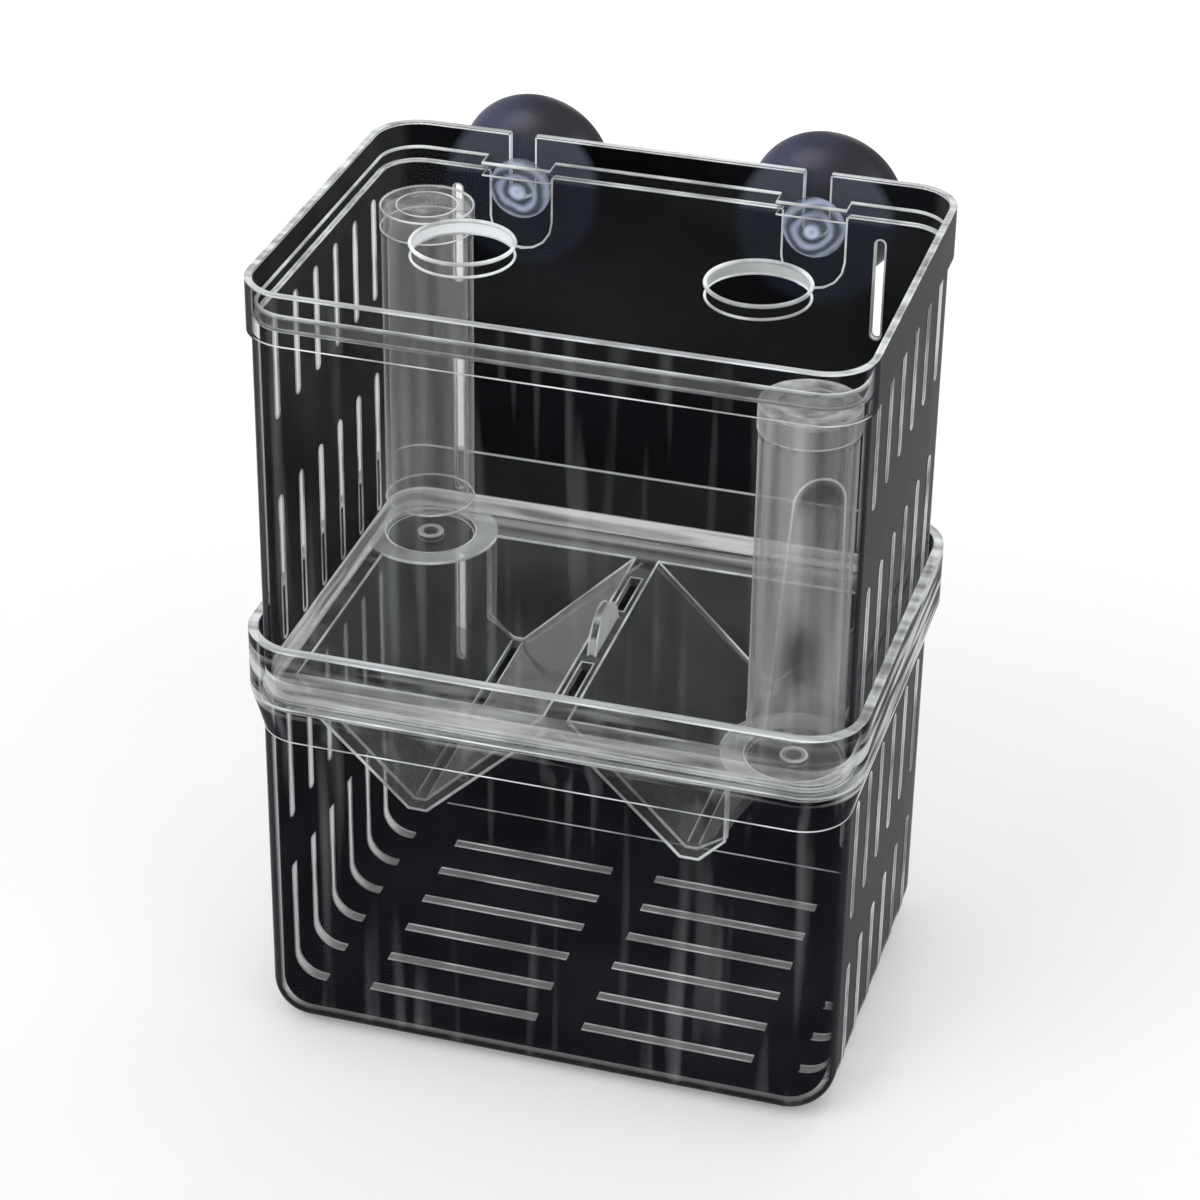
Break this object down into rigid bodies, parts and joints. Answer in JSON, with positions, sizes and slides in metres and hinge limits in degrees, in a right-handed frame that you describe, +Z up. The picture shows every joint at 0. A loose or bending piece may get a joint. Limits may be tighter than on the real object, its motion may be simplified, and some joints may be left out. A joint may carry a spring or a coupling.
{
  "type": "aquarium breeding box",
  "caption": "Clear two-storey fish breeding box: slotted lower box, V-trough tray, slotted upper sleeve, lid with finger holes, capped float tubes and rear suction cups.",
  "frame": {"origin": "centre of the lower box's flat underside", "axes": "+Z up, +X to the right seen from the front, -Y towards the front; the suction cups are at +Y"},
  "size_m": [0.124, 0.0972, 0.172],
  "materials": {
    "clear_shell": "gloss",
    "clear_tray": "gloss",
    "clear_lid": "gloss",
    "float_plastic": "satin",
    "soft_cup": "satin"
  },
  "bodies": {
    "lower": {"lower_box": "clear_shell"},
    "tray": {"v_tray": "clear_tray"},
    "upper": {"upper_box": "clear_shell"},
    "lid": {"lid": "clear_lid"},
    "float_rear": {"float_tube_rear": "float_plastic", "float_cap_rear": "float_plastic"},
    "float_front": {"float_tube_front": "float_plastic", "float_cap_front": "float_plastic"},
    "cup_left": {"suction_cup_left": "soft_cup"},
    "cup_right": {"suction_cup_right": "soft_cup"}
  },
  "joints": [
    {"name": "tray_lift", "type": "slide", "parent": "lower", "child": "tray", "axis": [0, 0, 1], "range_m": [0, 0.06]},
    {"name": "sleeve_lift", "type": "slide", "parent": "lower", "child": "upper", "axis": [0, 0, 1], "range_m": [0, 0.15]},
    {"name": "lid_lift", "type": "slide", "parent": "upper", "child": "lid", "axis": [0, 0, 1], "range_m": [0, 0.12]},
    {"name": "cup_left_lift", "type": "slide", "parent": "upper", "child": "cup_left", "axis": [0, 0, 1], "range_m": [0, 0.02]},
    {"name": "cup_right_lift", "type": "slide", "parent": "upper", "child": "cup_right", "axis": [0, 0, 1], "range_m": [0, 0.02]},
    {"name": "float_rear_lift", "type": "slide", "parent": "tray", "child": "float_rear", "axis": [0, 0, 1], "range_m": [0, 0.102]},
    {"name": "float_front_lift", "type": "slide", "parent": "tray", "child": "float_front", "axis": [0, 0, 1], "range_m": [0, 0.102]}
  ],
  "couplings": [
    {"joint": "tray_lift", "follows": "sleeve_lift", "ratio": 0.4},
    {"joint": "float_rear_lift", "follows": "lid_lift", "ratio": 0.85},
    {"joint": "float_front_lift", "follows": "lid_lift", "ratio": 0.85}
  ]
}
